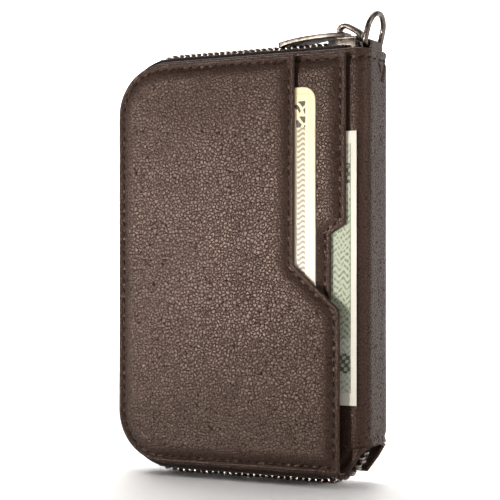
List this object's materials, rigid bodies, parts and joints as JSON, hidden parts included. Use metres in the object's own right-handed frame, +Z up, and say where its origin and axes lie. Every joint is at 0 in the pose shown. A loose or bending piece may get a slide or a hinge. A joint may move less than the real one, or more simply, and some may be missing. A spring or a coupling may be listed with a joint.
{
  "type": "zip-around wallet",
  "caption": "Small upright zip-around leather wallet with two stepped outer pockets, a card, folded notes, a D-ring in a loop and a zip slider with pull.",
  "frame": {"origin": "middle of the underside: the wallet stands on its zipped lower edge", "axes": "+X towards the spine, +Y towards the back cover, +Z up"},
  "size_m": [0.0738, 0.0176, 0.116],
  "materials": {
    "leather": "pebbled matt leather, dark brown",
    "leather_edge": "cut and painted leather edge",
    "board": "stiffener board",
    "lining": "brown woven lining",
    "zip_tape": "black woven zip tape",
    "zip_metal": "antique nickel",
    "slider_metal": "polished nickel with an antique tone",
    "ring_metal": "dark nickel wire",
    "card": "cream satin card",
    "paper": "printed banknote paper"
  },
  "bodies": {
    "back": {"cover_back": "leather", "board_back": "board", "lining_back": "lining", "inner_pocket_back": "lining", "zip_tape_back": "zip_tape", "zip_teeth_back": "zip_metal", "top_stop_back": "zip_metal", "zip_bottom_stop": "zip_metal"},
    "spine": {"cover_spine": "leather", "lining_spine": "lining", "ring_tab": "leather_edge"},
    "front": {"cover_front": "leather", "board_front": "board", "lining_front": "lining", "inner_pocket_front": "lining", "cash_pocket_panel": "leather", "card_pocket_panel": "leather", "zip_tape_front": "zip_tape", "zip_teeth_front": "zip_metal", "top_stop_front": "zip_metal"},
    "slider": {"slider_body": "slider_metal", "slider_bridge": "slider_metal"},
    "pull": {"pull_tab": "slider_metal"},
    "ring": {"d_ring": "ring_metal"},
    "card": {"card": "card"},
    "notes": {"banknotes": "paper"}
  },
  "joints": [
    {"name": "spine_fold", "type": "hinge", "parent": "back", "child": "spine", "pos_m": [0.03608, 0.00875, 0.0545], "axis": [0, 0, 1], "range_deg": [0, 90]},
    {"name": "front_fold", "type": "hinge", "parent": "spine", "child": "front", "pos_m": [0.03608, -0.00525, 0.0545], "axis": [0, 0, 1], "range_deg": [0, 90]},
    {"name": "zip_slide", "type": "slide", "parent": "back", "child": "slider", "axis": [-1, 0, 0], "range_m": [0, 0.04]},
    {"name": "pull_hinge", "type": "hinge", "parent": "slider", "child": "pull", "pos_m": [0.02738, 0.00175, 0.1107], "axis": [0, 1, 0], "range_deg": [0, 110]},
    {"name": "ring_swing", "type": "hinge", "parent": "spine", "child": "ring", "pos_m": [0.03428, 0.00175, 0.1075], "axis": [0, 1, 0], "range_deg": [-20, 75]},
    {"name": "card_slide", "type": "slide", "parent": "front", "child": "card", "axis": [1, 0, 0], "range_m": [0, 0.05]},
    {"name": "note_slide", "type": "slide", "parent": "front", "child": "notes", "axis": [1, 0, 0], "range_m": [0, 0.055]}
  ],
  "couplings": [
    {"joint": "spine_fold", "follows": "front_fold", "ratio": 1},
    {"joint": "zip_slide", "follows": "front_fold", "m_per_rad": 0.025465}
  ]
}
